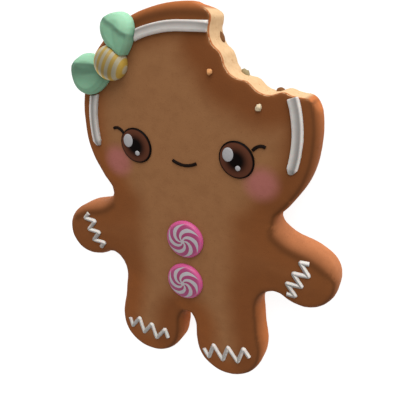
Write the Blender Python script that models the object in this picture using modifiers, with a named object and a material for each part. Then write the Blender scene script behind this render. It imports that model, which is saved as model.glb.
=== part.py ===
"""A bitten gingerbread man cookie, iced and decorated with sweets, lying on its back.

Units are metres, +Z up. The head points along +Y and the decorated front faces +Z. The origin is
under the middle of the whole figure, on the surface that the flat back rests on. Left and right
are the viewer's, so left is -X.
"""

import math

import bmesh
import bpy
import numpy as np
from mathutils import Matrix
from mathutils import Vector
from mathutils.geometry import delaunay_2d_cdt

MM = 0.001
GAP = 0.3 * MM

# Cookie
THICKNESS = 9.9 * MM
PUFF = 1.4 * MM
PUFF_REACH = 18.0 * MM
FRONT_TOP = THICKNESS + PUFF
RIM_IN = 2.4 * MM
RIM_DOWN = 3.4 * MM
BASE_IN = 1.5 * MM
BASE_UP = 1.6 * MM
RIM_RINGS = [0.2 * MM, 0.7 * MM, BASE_IN, RIM_IN]
OUTLINE_STEP = 2.1 * MM
GRID_STEP = 4.4 * MM
GRID_CLEAR_SHARE = 0.45
CURVE_RESOLUTION = 24
ON_EDGE = 1e-7
CDT_INSIDE = 1

# Head: a rounded oval, given up to where it turns in to the neck
HEAD_MIDDLE_Y = 25.0 * MM
HEAD_HALF_WIDTH = 37.6 * MM
HEAD_UP = 34.5 * MM
HEAD_DOWN = 31.0 * MM
HEAD_SQUARENESS = 2.18
HEAD_LAST = math.radians(-35.0)
HEAD_STEPS = 8
NECK = (28.2 * MM, 1.6 * MM)

# Arms: round ends on straight sides that slope down and out
ARM_END = (38.45 * MM, -15.2 * MM)
ARM_RADIUS = 9.55 * MM
ARM_SLOPE = math.radians(-21.0)
ARM_TOP_SIDE = 11.7 * MM
ARM_UNDER_SIDE = 6.2 * MM
ARM_STEPS = 5

# Trunk and legs: straight sides, round feet and a narrow gap between the legs
WAIST_X = 25.5 * MM
WAIST_TOP = -25.0 * MM
WAIST_LOW = -35.0 * MM
FOOT = (15.0 * MM, -47.25 * MM)
FOOT_RADIUS = 12.25 * MM
FOOT_STEPS = 6
LEG_GAP_HALF_WIDTH = 2.2 * MM
LEG_GAP_TOP = -37.8 * MM
LEG_GAP_SHOULDER = 2.7 * MM

# Bite: tooth marks evenly spaced round an arch, running out to rounded corners
BITE_CENTRE = (27.2 * MM, 59.9 * MM)
BITE_REACH = 17.2 * MM
SIDE_TOOTH_EASE = 1.0 * MM
EASED_TEETH = 2
FIRST_TOOTH = math.radians(179.0)
TOOTH_PITCH = math.radians(26.25)
TOOTH_COUNT = 5
TOOTH_RADIUS = 5.8 * MM
TOOTH_STEPS = 9
BITE_FIRST_ANGLE = math.radians(215.0)
BITE_LAST_ANGLE = math.radians(280.0)
BITE_FIRST_TURN = math.radians(40.0)
BITE_LAST_TURN = math.radians(-70.0)
BITE_CORNER_RADIUS = 3.6 * MM
BITE_CORNER_STEPS = 4
BITE_RUN_OUT = 4.0 * MM
BITE_SOFTENING = 2
BITE_FAR = 75.0 * MM
BITE_TOP = 3.0 * THICKNESS

# Piped lines
ICING_TOP_INSET = 6.05 * MM
ICING_LEFT_INSET = 5.8 * MM
ICING_RIGHT_INSET = 5.1 * MM
ICING_HALF_WIDTH = 1.55 * MM
ICING_HEIGHT = 1.3 * MM
ICING_LEFT_TIP_Y = 17.3 * MM
ICING_RIGHT_TIP_Y = 16.2 * MM
ZIGZAG_HALF_WIDTH = 0.62 * MM
ZIGZAG_HEIGHT = 0.75 * MM
LINE_HALF_WIDTH = 0.4 * MM
LINE_HEIGHT = 0.45 * MM
BEAD_SIDES = 6
BEAD_SHARPEST = 0.35
ICING_TIP_SHARE = 0.45
ICING_TOP_END_X = 9.5 * MM
ICING_PAST_CROWN = 1.0 * MM
ICING_RIGHT_TOP_Y = 37.3 * MM
ICING_UNDER_LEAF = 4.0 * MM
ZIGZAG_TIP_SHARE = 0.9
LINE_TIP_SHARE = 0.6

# Each zigzag: its first corner, the way from corner to corner and from there across, millimetres
ZIGZAGS = {
    "icing_leg_left": ((-21.9, -49.8), (5.1, -0.95), (3.45, 4.85)),
    "icing_leg_right": ((9.0, -52.9), (5.3, 1.0), (1.75, 6.1)),
    "icing_arm_left": ((-39.5, -9.8), (1.6, -3.8), (4.35, -0.35)),
    "icing_arm_right": ((36.7, -8.6), (-1.6, -3.8), (2.9, -3.75)),
}
ZIGZAG_REPEATS = 3
ZIGZAG_END = 0.58

# Face
EYE_X = 16.3 * MM
EYE_Y = 19.35 * MM
EYE_SHORT = 5.05 * MM
EYE_LONG = 5.6 * MM
EYE_TURN = math.radians(44.0)
EYE_HEIGHT = 0.8 * MM
EYE_EDGE = 0.56 * MM
GLINT_HEIGHT = 0.4 * MM
GLINT_EDGE = 0.24 * MM
LARGE_GLINT_PLACE = (-2.35 * MM, 1.35 * MM)
LARGE_GLINT_SIZE = (1.7 * MM, 2.05 * MM)
SMALL_GLINT_PLACE = (0.75 * MM, -2.15 * MM)
SMALL_GLINT_SIZE = (0.8 * MM, 0.8 * MM)
LASH_ROOT = (20.75 * MM, 22.6 * MM)
LASH_SPAN = (3.55 * MM, 1.1 * MM)
LASH_BOW = 0.75 * MM
LASH_STEP = 0.7 * MM
MOUTH_HALF_WIDTH = 3.9 * MM
MOUTH_Y = 16.4 * MM
MOUTH_SAG = 1.1 * MM
MOUTH_STEP = 0.9 * MM
BOW_SAMPLES = 40

# Swirled sweets and striped ball
CANDY_RADIUS = 6.25 * MM
CANDY_EDGE = 0.9 * MM
CANDY_HEIGHT = 2.0 * MM
DOME_SHARE = 0.94
FOOT_SHARE = 0.95
WIDEST_SHARE = 0.45
CANDY_X = 0.35 * MM
CANDY_UPPER_Y = -8.7 * MM
CANDY_LOWER_Y = -23.95 * MM
DROP_SIDES = 40
BALL_RADIUS = 4.9 * MM
BALL_CENTRE = (-22.9 * MM, 43.0 * MM, THICKNESS + 2.6 * MM)
BALL_SIDES = 32
BALL_RINGS = 12
GLINT_SIDES = 20
MERGE_DISTANCE = 1e-5

# Leaves: teardrops with the tip, the way along, the length and half the width of each
UPPER_LEAF = ((-18.9 * MM, 44.4 * MM), math.radians(99.5), 12.3 * MM, 4.6 * MM)
LOWER_LEAF = ((-23.0 * MM, 41.0 * MM), math.radians(191.0), 14.8 * MM, 5.9 * MM)
LEAF_POINTEDNESS = 0.7
LEAF_CORNERS = 16
UPPER_LEAF_TOP = THICKNESS + 5.9 * MM
LOWER_LEAF_TOP = THICKNESS + 4.3 * MM

# Each leaf folds down beyond a crease: the way across the crease, and how far it is from the tip
UPPER_FOLD = (math.radians(59.0), 7.0 * MM)
LOWER_FOLD = (math.radians(90.0), 1.4 * MM)
FOLD_SLOPE = 0.85
FOLD_SOFTNESS = 0.25 * MM
LEAF_EDGE = 2.0 * MM
LEAF_EDGE_DROP = 2.6 * MM
LEAF_VALLEY = 0.5 * MM
LEAF_VALLEY_WIDTH = 2.2 * MM
LEAF_RINGS = [0.15 * MM, 0.6 * MM, LEAF_EDGE]
LEAF_STEP = 1.5 * MM
LEAF_GRID = 1.8 * MM
LEAF_SAG = 0.4 * MM
LEAF_CLEARANCE = 0.4 * MM
LEAF_THINNEST = 0.9 * MM

# Photographed colours as 8-bit sRGB, with roughness
COLOURS = {
    "gingerbread": ((136, 90, 56), 0.75),
    "white_icing": ((226, 222, 216), 0.35),
    "brown_icing": ((58, 34, 24), 0.25),
    "dark_icing": ((26, 16, 13), 0.35),
    "pink_candy": ((214, 84, 140), 0.2),
    "green_fondant": ((122, 172, 138), 0.5),
    "yellow_candy": ((205, 172, 84), 0.25),
}


def clear_scene():
    for old in list(bpy.data.objects):
        bpy.data.objects.remove(old, do_unlink=True)


def make_collection(name, hidden):
    collection = bpy.data.collections.new(name)
    bpy.context.scene.collection.children.link(collection)
    collection.hide_render = hidden
    return collection


def linear(channel):
    """One 8-bit sRGB channel as the linear value that a shader takes."""
    value = channel / 255
    return value / 12.92 if value <= 0.04045 else ((value + 0.055) / 1.055) ** 2.4


def make_material(name):
    colour, roughness = COLOURS[name]
    material = bpy.data.materials.new(name)
    material.use_nodes = True
    shader = material.node_tree.nodes["Principled BSDF"]
    shader.inputs["Base Color"].default_value = (*map(linear, colour), 1.0)
    shader.inputs["Roughness"].default_value = roughness
    shader.inputs["Metallic"].default_value = 0.0
    return material


def add_object(name, mesh, material, collection):
    """A new object of the mesh, with its material and its collection."""
    made = bpy.data.objects.new(name, mesh)
    collection.objects.link(made)
    if material:
        mesh.materials.append(material)
    return made


def smooth_loop(points, step):
    """Evenly spaced (x, y) points on a closed smooth curve through the given ones."""
    curve = bpy.data.curves.new("guide", "CURVE")
    curve.dimensions = "2D"
    curve.fill_mode = "NONE"
    curve.resolution_u = CURVE_RESOLUTION
    spline = curve.splines.new("BEZIER")
    spline.bezier_points.add(len(points) - 1)
    spline.use_cyclic_u = True
    for bezier, (x, y) in zip(spline.bezier_points, points):
        bezier.co = (x, y, 0.0)
        bezier.handle_left_type = "AUTO"
        bezier.handle_right_type = "AUTO"
    guide = bpy.data.objects.new("guide", curve)
    mesh = bpy.data.meshes.new_from_object(guide)
    fine = np.array([vertex.co[:2] for vertex in mesh.vertices])
    bpy.data.objects.remove(guide)
    bpy.data.curves.remove(curve)
    bpy.data.meshes.remove(mesh)
    return resample(np.vstack([fine, fine[:1]]), step)[:-1]


def resample(points, step):
    """Points along an open line, about step apart, with both ends kept."""
    lengths = np.linalg.norm(np.diff(points, axis=0), axis=1)
    along = np.concatenate([[0.0], np.cumsum(lengths)])
    count = max(2, round(along[-1] / step) + 1)
    wanted = np.linspace(0.0, along[-1], count)
    return np.column_stack([np.interp(wanted, along, points[:, axis]) for axis in (0, 1)])


def arc(centre, radius, first, last, steps):
    """Points round a circle from one angle to another."""
    angles = [first + (last - first) * step / steps for step in range(steps + 1)]
    return [(centre[0] + radius * math.cos(a), centre[1] + radius * math.sin(a)) for a in angles]


def head_half():
    """The right side of the head, from the crown down to where the neck begins."""
    points = []
    for step in range(HEAD_STEPS + 1):
        angle = math.pi / 2.0 + (HEAD_LAST - math.pi / 2.0) * step / HEAD_STEPS
        across = max(math.cos(angle), 0.0) ** (2.0 / HEAD_SQUARENESS)
        along = abs(math.sin(angle)) ** (2.0 / HEAD_SQUARENESS)
        rise = HEAD_UP * along if angle > 0.0 else -HEAD_DOWN * along
        points.append((HEAD_HALF_WIDTH * across, HEAD_MIDDLE_Y + rise))
    points[0] = (0.0, HEAD_MIDDLE_Y + HEAD_UP)
    return points


def arm_half():
    """The right arm: its upper side, round end and under side."""
    upper = ARM_SLOPE + math.pi / 2.0
    end = arc(ARM_END, ARM_RADIUS, upper, upper - math.pi, ARM_STEPS)
    way = np.array([math.cos(ARM_SLOPE), math.sin(ARM_SLOPE)])
    top = tuple(end[0] - way * ARM_TOP_SIDE)
    under = tuple(end[-1] - way * ARM_UNDER_SIDE)
    return [top] + end + [under]


def leg_half():
    """The right side of the trunk, the foot and the inside of the leg."""
    sides = [(WAIST_X, WAIST_TOP), (WAIST_X, WAIST_LOW)]
    foot = arc(FOOT, FOOT_RADIUS, 0.0, -math.pi, FOOT_STEPS)
    gap = [(LEG_GAP_HALF_WIDTH, LEG_GAP_TOP - LEG_GAP_SHOULDER), (0.0, LEG_GAP_TOP)]
    return sides + foot + gap


def figure_outline():
    """The whole uncut figure, its left side the mirror of its right."""
    right = head_half() + [NECK] + arm_half() + leg_half()
    left = [(-x, y) for x, y in right[-2:0:-1]]
    return smooth_loop(right + left, OUTLINE_STEP)


def leaf_outline(tip, heading, length, half_width):
    """A teardrop: pointed where it starts and round at its far end."""
    turns = [2.0 * math.pi * corner / LEAF_CORNERS for corner in range(LEAF_CORNERS)]
    widths = [math.sin(turn) * math.sin(turn / 2.0) ** LEAF_POINTEDNESS for turn in turns]
    widest = max(widths)
    way = np.array([math.cos(heading), math.sin(heading)])
    across = np.array([way[1], -way[0]])
    points = []
    for turn, width in zip(turns, widths):
        along = (1.0 - math.cos(turn)) / 2.0 * length
        points.append(tuple(np.array(tip) + way * along + across * half_width * width / widest))
    return smooth_loop(points, LEAF_STEP)


def inset(loop, distance):
    """The loop moved inwards; a loop runs anticlockwise or clockwise."""
    ahead = np.roll(loop, -1, axis=0) - np.roll(loop, 1, axis=0)
    ahead /= np.linalg.norm(ahead, axis=1)[:, None]
    area = np.sum(loop[:, 0] * np.roll(loop[:, 1], -1) - loop[:, 1] * np.roll(loop[:, 0], -1))
    inward = np.column_stack([-ahead[:, 1], ahead[:, 0]]) * np.sign(area)
    return loop + inward * distance


def depth_inside(points, loop):
    """How far each point is inside the loop, negative where it is outside."""
    side = np.roll(loop, -1, axis=0) - loop
    offset = points[:, None, :] - loop[None, :, :]
    share = np.clip(np.sum(offset * side, axis=2) / np.sum(side * side, axis=1), 0.0, 1.0)
    nearest = np.linalg.norm(offset - share[:, :, None] * side, axis=2).min(axis=1)
    above = offset[:, :, 1] < 0.0
    crosses = above != np.roll(above, -1, axis=1)
    rise = np.where(side[:, 1] == 0.0, 1.0, side[:, 1])
    beyond = offset[:, :, 1] / rise * side[:, 0] > offset[:, :, 0]
    odd = np.sum(crosses & beyond, axis=1) % 2 == 1
    return np.where(odd, nearest, -nearest)


def rounded(depth, width, height):
    """Height of a quarter of an ellipse above its foot, at a distance in from its foot."""
    share = np.clip(1.0 - depth / width, 0.0, 1.0)
    return height * np.sqrt(1.0 - share * share)


def front_height(depth):
    """Height of the cookie's front at a distance in from its outline."""
    share = np.clip(1.0 - depth / PUFF_REACH, 0.0, 1.0)
    swell = PUFF * (1.0 - share * share)
    return THICKNESS - RIM_DOWN + rounded(depth, RIM_IN, RIM_DOWN) + swell


def back_height(depth):
    return BASE_UP - rounded(depth, BASE_IN, BASE_UP)


def pad(name, loop, rings, grid_step, front, back, material, collection):
    """A closed pad over the loop, its front and back split into triangles alike.

    front and back give heights for (points, depths). The rings shape the rounded edge.
    """
    bands = [loop] + [inset(loop, distance) for distance in rings]
    low = loop.min(axis=0)
    high = loop.max(axis=0)
    columns = np.arange(low[0], high[0], grid_step)
    rows = np.arange(low[1], high[1], grid_step * math.sqrt(3.0) / 2.0)
    grid = [(x + (index % 2) * grid_step / 2.0, y) for index, y in enumerate(rows) for x in columns]
    grid = np.array(grid)
    grid = grid[depth_inside(grid, loop) > rings[-1] + grid_step * GRID_CLEAR_SHARE]
    flat = np.vstack(bands + [grid])
    edges = []
    for band in range(len(bands)):
        first = band * len(loop)
        edges += [(first + i, first + (i + 1) % len(loop)) for i in range(len(loop))]
    found = delaunay_2d_cdt([Vector(point) for point in flat], edges, [], CDT_INSIDE, ON_EDGE)
    points = np.array([vertex[:] for vertex in found[0]])
    faces = [tuple(face) for face in found[2]]
    depths = depth_inside(points, loop)
    depths[np.abs(depths) < ON_EDGE] = 0.0
    count = len(points)
    vertices = np.vstack([np.column_stack([points, front(points, depths)]),
                          np.column_stack([points, back(points, depths)])])
    sides = {(a, b) for face in faces for a, b in zip(face, face[1:] + face[:1])}
    walls = [(b, a, a + count, b + count) for a, b in sides if (b, a) not in sides]
    under = [tuple(corner + count for corner in reversed(face)) for face in faces]
    mesh = bpy.data.meshes.new(name)
    mesh.from_pydata(vertices.tolist(), [], faces + walls + under)
    mesh.validate()
    return add_object(name, mesh, material, collection)


def prism(name, loop, low, high, collection):
    """A straight-sided block over the loop, used as a cutter."""
    shape = bmesh.new()
    rim = [shape.verts.new((x, y, low)) for x, y in loop]
    floor = shape.faces.new(rim)
    made = bmesh.ops.extrude_face_region(shape, geom=[floor])["geom"]
    lifted = [item for item in made if isinstance(item, bmesh.types.BMVert)]
    bmesh.ops.translate(shape, vec=(0.0, 0.0, high - low), verts=lifted)
    bmesh.ops.recalc_face_normals(shape, faces=shape.faces)
    mesh = bpy.data.meshes.new(name)
    shape.to_mesh(mesh)
    shape.free()
    block = add_object(name, mesh, None, collection)
    block.hide_render = True
    block.display_type = "WIRE"
    return block


def cut(target, cutter):
    modifier = target.modifiers.new("cut " + cutter.name, "BOOLEAN")
    modifier.operation = "DIFFERENCE"
    modifier.object = cutter


def meeting(first, second, radius):
    """Where two circles of one radius cross, on the side of the cookie's middle."""
    middle = (first + second) / 2.0
    way = second - first
    half = np.linalg.norm(way) / 2.0
    across = np.array([-way[1], way[0]]) / (2.0 * half)
    rise = math.sqrt(radius * radius - half * half)
    return min((middle + across * rise, middle - across * rise), key=np.linalg.norm)


def run_out(start, heading, turn):
    """A rounded corner that begins along a heading, then a straight run past the outline."""
    place = np.array(start)
    points = []
    for _ in range(BITE_CORNER_STEPS):
        heading += turn / BITE_CORNER_STEPS
        stride = BITE_CORNER_RADIUS * abs(turn) / BITE_CORNER_STEPS
        place = place + stride * np.array([math.cos(heading), math.sin(heading)])
        points.append(place)
    points.append(place + BITE_RUN_OUT * np.array([math.cos(heading), math.sin(heading)]))
    return points


def bite_loop():
    """Outline of what was bitten off: a run of tooth marks, then far round the outside."""
    angles = [FIRST_TOOTH + TOOTH_PITCH * tooth for tooth in range(TOOTH_COUNT)]
    around = [np.array([math.cos(angle), math.sin(angle)]) for angle in angles]
    eases = [SIDE_TOOTH_EASE * max(0.0, 1.0 - tooth / EASED_TEETH) for tooth in range(TOOTH_COUNT)]
    marks = [np.array(BITE_CENTRE) + (BITE_REACH - ease) * way for way, ease in zip(around, eases)]
    first_way = np.array([math.cos(BITE_FIRST_ANGLE), math.sin(BITE_FIRST_ANGLE)])
    last_way = np.array([math.cos(BITE_LAST_ANGLE), math.sin(BITE_LAST_ANGLE)])
    ends = [marks[0] + TOOTH_RADIUS * first_way]
    ends += [meeting(a, b, TOOTH_RADIUS) for a, b in zip(marks, marks[1:])]
    ends.append(marks[-1] + TOOTH_RADIUS * last_way)
    teeth = []
    for mark, begin, end in zip(marks, ends, ends[1:]):
        start = math.atan2(*(begin - mark)[::-1])
        turn = (math.atan2(*(end - mark)[::-1]) - start) % (2.0 * math.pi)
        teeth += arc(mark, TOOTH_RADIUS, start, start + turn, TOOTH_STEPS)[:-1]
    teeth.append(ends[-1])
    lead_in = run_out(ends[0], BITE_FIRST_ANGLE - math.pi / 2.0, BITE_FIRST_TURN)[::-1]
    lead_out = run_out(ends[-1], BITE_LAST_ANGLE + math.pi / 2.0, BITE_LAST_TURN)
    line = np.array(lead_in + teeth + lead_out)
    for _ in range(BITE_SOFTENING):
        line[1:-1] = (line[:-2] + 2.0 * line[1:-1] + line[2:]) / 4.0
    far = [(BITE_FAR, line[-1, 1]), (BITE_FAR, BITE_FAR), (line[0, 0], BITE_FAR)]
    return np.vstack([line, far])


def bead(name, path, half_width, height, taper, material, collection):
    """A piped line with a round back, laid on the cookie's front along an open path.

    Corners are mitred, and the ends narrow to the share taper of the full section. Two shares
    give each end its own.
    """
    path = np.array(path)
    ways = np.diff(path, axis=0)
    ways /= np.linalg.norm(ways, axis=1)[:, None]
    before = np.vstack([ways[:1], ways])
    after = np.vstack([ways, ways[-1:]])
    mitre = before + after
    mitre /= np.linalg.norm(mitre, axis=1)[:, None]
    stretch = 1.0 / np.maximum(np.sum(mitre * before, axis=1), BEAD_SHARPEST)
    sideways = np.column_stack([-mitre[:, 1], mitre[:, 0]]) * stretch[:, None]
    sizes = np.ones(len(path))
    sizes[[0, -1]] = taper
    angles = np.linspace(0.0, math.pi, BEAD_SIDES + 1)
    rings = []
    for point, side, size in zip(path, sideways, sizes):
        flat = point + np.outer(np.cos(angles) * half_width * size, side)
        ground = front_height(depth_inside(flat, OUTLINE)) + GAP
        rings.append(np.column_stack([flat, ground + np.sin(angles) * height * size]))
    vertices = np.vstack(rings)
    count = BEAD_SIDES + 1
    faces = []
    for ring in range(len(path) - 1):
        for corner in range(count):
            a = ring * count + corner
            b = ring * count + (corner + 1) % count
            faces.append((a, b, b + count, a + count))
    faces.append(tuple(range(count))[::-1])
    faces.append(tuple(range(len(vertices) - count, len(vertices))))
    mesh = bpy.data.meshes.new(name)
    mesh.from_pydata(vertices.tolist(), [], faces)
    shape = bmesh.new()
    shape.from_mesh(mesh)
    bmesh.ops.triangulate(shape, faces=shape.faces)
    bmesh.ops.recalc_face_normals(shape, faces=shape.faces)
    shape.to_mesh(mesh)
    shape.free()
    return add_object(name, mesh, material, collection)


def turned(name, profile, steps, material, collection):
    """A turned shape; the profile runs from the top of the axis down its outside to the axis."""
    mesh = bpy.data.meshes.new(name)
    corners = [(radius, 0.0, z) for radius, z in profile]
    mesh.from_pydata(corners, [(i, i + 1) for i in range(len(corners) - 1)], [])
    made = add_object(name, mesh, material, collection)
    screw = made.modifiers.new("turn", "SCREW")
    screw.steps = steps
    screw.render_steps = steps
    screw.use_merge_vertices = True
    screw.merge_threshold = MERGE_DISTANCE
    return made


def lens_profile(radius, edge, height, steps=5):
    """A flat-based drop: a short rounded edge under a shallow dome."""
    angles = [math.radians(90.0 * step / steps) for step in range(steps + 1)]
    rise = height - edge
    dome = [(radius * DOME_SHARE * math.sin(a), edge + rise * math.cos(a)) for a in angles]
    return dome + [(radius, edge * WIDEST_SHARE), (radius * FOOT_SHARE, 0.0), (0.0, 0.0)]


def place_drop(drop, x, y, z, size=(1.0, 1.0), turn=0.0):
    """Sets a turned drop down, with its round outline drawn out to an oval."""
    drop.location = (x, y, z)
    drop.scale = (size[0], size[1], 1.0)
    drop.rotation_euler = (0.0, 0.0, turn)


def zigzag_path(first, repeat, across):
    """Corners of a zigzag that starts and ends with a shortened stroke."""
    first = np.array(first)
    repeat = np.array(repeat)
    across = np.array(across)
    corners = []
    for index in range(ZIGZAG_REPEATS):
        corners += [first + index * repeat, first + index * repeat + across]
    start = corners[0] + ZIGZAG_END * (across - repeat)
    end = corners[-1] + ZIGZAG_END * (repeat - across)
    return np.array([start] + corners + [end]) * MM


def bowed_path(start, end, bow, step):
    """A line from start to end that bows up in the middle, or down where bow is negative."""
    share = np.linspace(0.0, 1.0, BOW_SAMPLES)
    line = np.outer(1.0 - share, start) + np.outer(share, end)
    line[:, 1] += bow * 4.0 * share * (1.0 - share)
    return resample(line, step)


def head_icing_path(leftwards, depth, tip_y):
    """The line piped just inside the head's edge, from the crown down to its tip on one side."""
    line = inset(OUTLINE, depth)
    sign = -1.0 if leftwards else 1.0
    chosen = line[(line[:, 1] > tip_y) & (line[:, 0] * sign > -ICING_PAST_CROWN)]
    return chosen[np.argsort(np.arctan2(chosen[:, 0] * sign, chosen[:, 1] - EYE_Y))]


def leaf_front(points, depths, tip, heading, fold, top):
    """A rounded edge, a shallow valley along the middle and a part folded down past a crease."""
    offset = points - np.array(tip)
    beside = offset[:, 0] * math.sin(heading) - offset[:, 1] * math.cos(heading)
    valley = LEAF_VALLEY * np.exp(-((beside / LEAF_VALLEY_WIDTH) ** 2))
    inside = np.clip(depths / LEAF_VALLEY_WIDTH, 0.0, 1.0)
    fold_way, fold_place = fold
    beyond = offset[:, 0] * math.cos(fold_way) + offset[:, 1] * math.sin(fold_way) - fold_place
    folded = FOLD_SLOPE * FOLD_SOFTNESS * np.logaddexp(0.0, beyond / FOLD_SOFTNESS)
    edge = rounded(depths, LEAF_EDGE, LEAF_EDGE_DROP) - LEAF_EDGE_DROP
    front = top + edge - valley * inside - folded
    return np.maximum(front, leaf_back(points, depths) + LEAF_THINNEST)


def leaf_back(points, depths):
    """The underside rests on the cookie's front and sags only a little where it overhangs."""
    ground = front_height(depth_inside(points, OUTLINE))
    return np.maximum(ground, THICKNESS - LEAF_SAG) + LEAF_CLEARANCE


def add_leaf(name, sizes, fold, top, material, parts, cutters):
    loop = leaf_outline(*sizes)
    tip, heading = sizes[:2]
    leaf = pad(name, loop, LEAF_RINGS, LEAF_GRID,
               lambda flat, depths: leaf_front(flat, depths, tip, heading, fold, top),
               leaf_back, material, parts)
    room = prism(name + "_room", inset(loop, -GAP), THICKNESS - RIM_DOWN, top, cutters)
    return leaf, room


def ball_profile(radius, floor):
    """A ball with a flat underside, floor below its centre."""
    last = math.acos(-floor / radius)
    angles = [last * step / BALL_RINGS for step in range(BALL_RINGS + 1)]
    return [(radius * math.sin(a), radius * math.cos(a)) for a in angles] + [(0.0, -floor)]


def add_face(brown, white, dark, parts):
    eye_floor = FRONT_TOP + GAP
    glint_floor = eye_floor + EYE_HEIGHT + GAP
    for side, sign in (("left", -1.0), ("right", 1.0)):
        x = sign * EYE_X
        dome = lens_profile(1.0 * MM, EYE_EDGE, EYE_HEIGHT)
        eye = turned("eye_" + side, dome, DROP_SIDES, brown, parts)
        place_drop(eye, x, EYE_Y, eye_floor, (EYE_SHORT / MM, EYE_LONG / MM), EYE_TURN)
        glints = (("large", LARGE_GLINT_PLACE, LARGE_GLINT_SIZE),
                  ("small", SMALL_GLINT_PLACE, SMALL_GLINT_SIZE))
        for kind, (dx, dy), (width, length) in glints:
            drop = lens_profile(1.0 * MM, GLINT_EDGE, GLINT_HEIGHT, 3)
            glint = turned(f"glint_{kind}_{side}", drop, GLINT_SIDES, white, parts)
            place_drop(glint, x + dx, EYE_Y + dy, glint_floor, (width / MM, length / MM))
        root = (sign * LASH_ROOT[0], LASH_ROOT[1])
        tip = (sign * (LASH_ROOT[0] + LASH_SPAN[0]), LASH_ROOT[1] + LASH_SPAN[1])
        lash = bowed_path(root, tip, LASH_BOW, LASH_STEP)
        bead("lash_" + side, lash, LINE_HALF_WIDTH, LINE_HEIGHT, LINE_TIP_SHARE, dark, parts)
    corners = ((-MOUTH_HALF_WIDTH, MOUTH_Y), (MOUTH_HALF_WIDTH, MOUTH_Y))
    mouth = bowed_path(*corners, -MOUTH_SAG, MOUTH_STEP)
    bead("mouth", mouth, LINE_HALF_WIDTH, LINE_HEIGHT, LINE_TIP_SHARE, dark, parts)


def add_sweets(pink, yellow, parts):
    for name, y in (("candy_upper", CANDY_UPPER_Y), ("candy_lower", CANDY_LOWER_Y)):
        dome = lens_profile(CANDY_RADIUS, CANDY_EDGE, CANDY_HEIGHT, 6)
        candy = turned(name, dome, DROP_SIDES, pink, parts)
        place_drop(candy, CANDY_X, y, FRONT_TOP + GAP)
    floor = BALL_CENTRE[2] - FRONT_TOP - GAP
    ball = turned("candy_ball", ball_profile(BALL_RADIUS, floor), BALL_SIDES, yellow, parts)
    ball.location = BALL_CENTRE


def ball_room(cutters):
    """The round space that the ball needs beside the leaves."""
    shape = bmesh.new()
    place = Matrix.Translation(BALL_CENTRE)
    bmesh.ops.create_uvsphere(shape, u_segments=32, v_segments=20,
                              radius=BALL_RADIUS + GAP, matrix=place)
    mesh = bpy.data.meshes.new("ball_room")
    shape.to_mesh(mesh)
    shape.free()
    room = add_object("ball_room", mesh, None, cutters)
    room.hide_render = True
    room.display_type = "WIRE"
    return room


def add_icing(white, bite, leaf_rooms, parts):
    crown = head_icing_path(True, ICING_TOP_INSET, ICING_LEFT_TIP_Y)
    left = head_icing_path(True, ICING_LEFT_INSET, ICING_LEFT_TIP_Y)
    upper = leaf_outline(*UPPER_LEAF)
    lower = leaf_outline(*LOWER_LEAF)
    kept = crown[crown[:, 0] > upper[:, 0].max() - ICING_UNDER_LEAF]
    top = np.vstack([[(ICING_TOP_END_X, crown[0][1])], kept])
    top = top[np.argsort(-top[:, 0])]
    down = left[left[:, 1] < lower[:, 1].min() + ICING_UNDER_LEAF]
    right = head_icing_path(False, ICING_RIGHT_INSET, ICING_RIGHT_TIP_Y)
    right_end_x = np.interp(ICING_RIGHT_TOP_Y, right[::-1, 1], right[::-1, 0])
    right = np.vstack([[(right_end_x, ICING_RIGHT_TOP_Y)], right[right[:, 1] < ICING_RIGHT_TOP_Y - MM]])
    sizes = (ICING_HALF_WIDTH, ICING_HEIGHT)
    top_line = bead("icing_head_top", top, *sizes, 1.0, white, parts)
    ends = (1.0, ICING_TIP_SHARE)
    down_line = bead("icing_head_left", down, *sizes, ends, white, parts)
    right_line = bead("icing_head_right", right, *sizes, ends, white, parts)
    cut(top_line, bite)
    cut(top_line, leaf_rooms[0])
    cut(down_line, leaf_rooms[1])
    for name, (first, repeat, across) in ZIGZAGS.items():
        path = zigzag_path(first, repeat, across)
        bead(name, path, ZIGZAG_HALF_WIDTH, ZIGZAG_HEIGHT, ZIGZAG_TIP_SHARE, white, parts)


def smooth_shading(parts):
    for made in parts.objects:
        made.data.shade_smooth()
        made.data.set_sharp_from_angle(angle=math.radians(40.0))


def main():
    parts = make_collection("gingerbread_man", False)
    cutters = make_collection("cutters", True)
    colours = {name: make_material(name) for name in COLOURS}
    cookie = pad("cookie", OUTLINE, RIM_RINGS, GRID_STEP, lambda flat, depths: front_height(depths),
                 lambda flat, depths: back_height(depths), colours["gingerbread"], parts)
    bite = prism("bite", bite_loop(), -THICKNESS, BITE_TOP, cutters)
    cut(cookie, bite)
    green = colours["green_fondant"]
    upper, upper_room = add_leaf("leaf_upper", UPPER_LEAF, UPPER_FOLD, UPPER_LEAF_TOP,
                                 green, parts, cutters)
    lower, lower_room = add_leaf("leaf_lower", LOWER_LEAF, LOWER_FOLD, LOWER_LEAF_TOP,
                                 green, parts, cutters)
    room = ball_room(cutters)
    cut(upper, room)
    cut(lower, room)
    white = colours["white_icing"]
    add_icing(white, bite, (upper_room, lower_room), parts)
    add_face(colours["brown_icing"], white, colours["dark_icing"], parts)
    add_sweets(colours["pink_candy"], colours["yellow_candy"], parts)
    smooth_shading(parts)


clear_scene()
OUTLINE = figure_outline()
main()
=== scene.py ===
# %% [markdown]
# A gingerbread man cookie with piped icing, swirled sweets and two fondant leaves lies on its
# back. The imported model gives every piece its place, so each piece here starts from that model or
# The first cell loads it and keeps its box, set beside the finished scene's at the end.

import math

import bmesh
import bpy
import numpy as np
from mathutils import Matrix, Vector, noise
from mathutils.bvhtree import BVHTree
from mathutils.kdtree import KDTree


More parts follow.
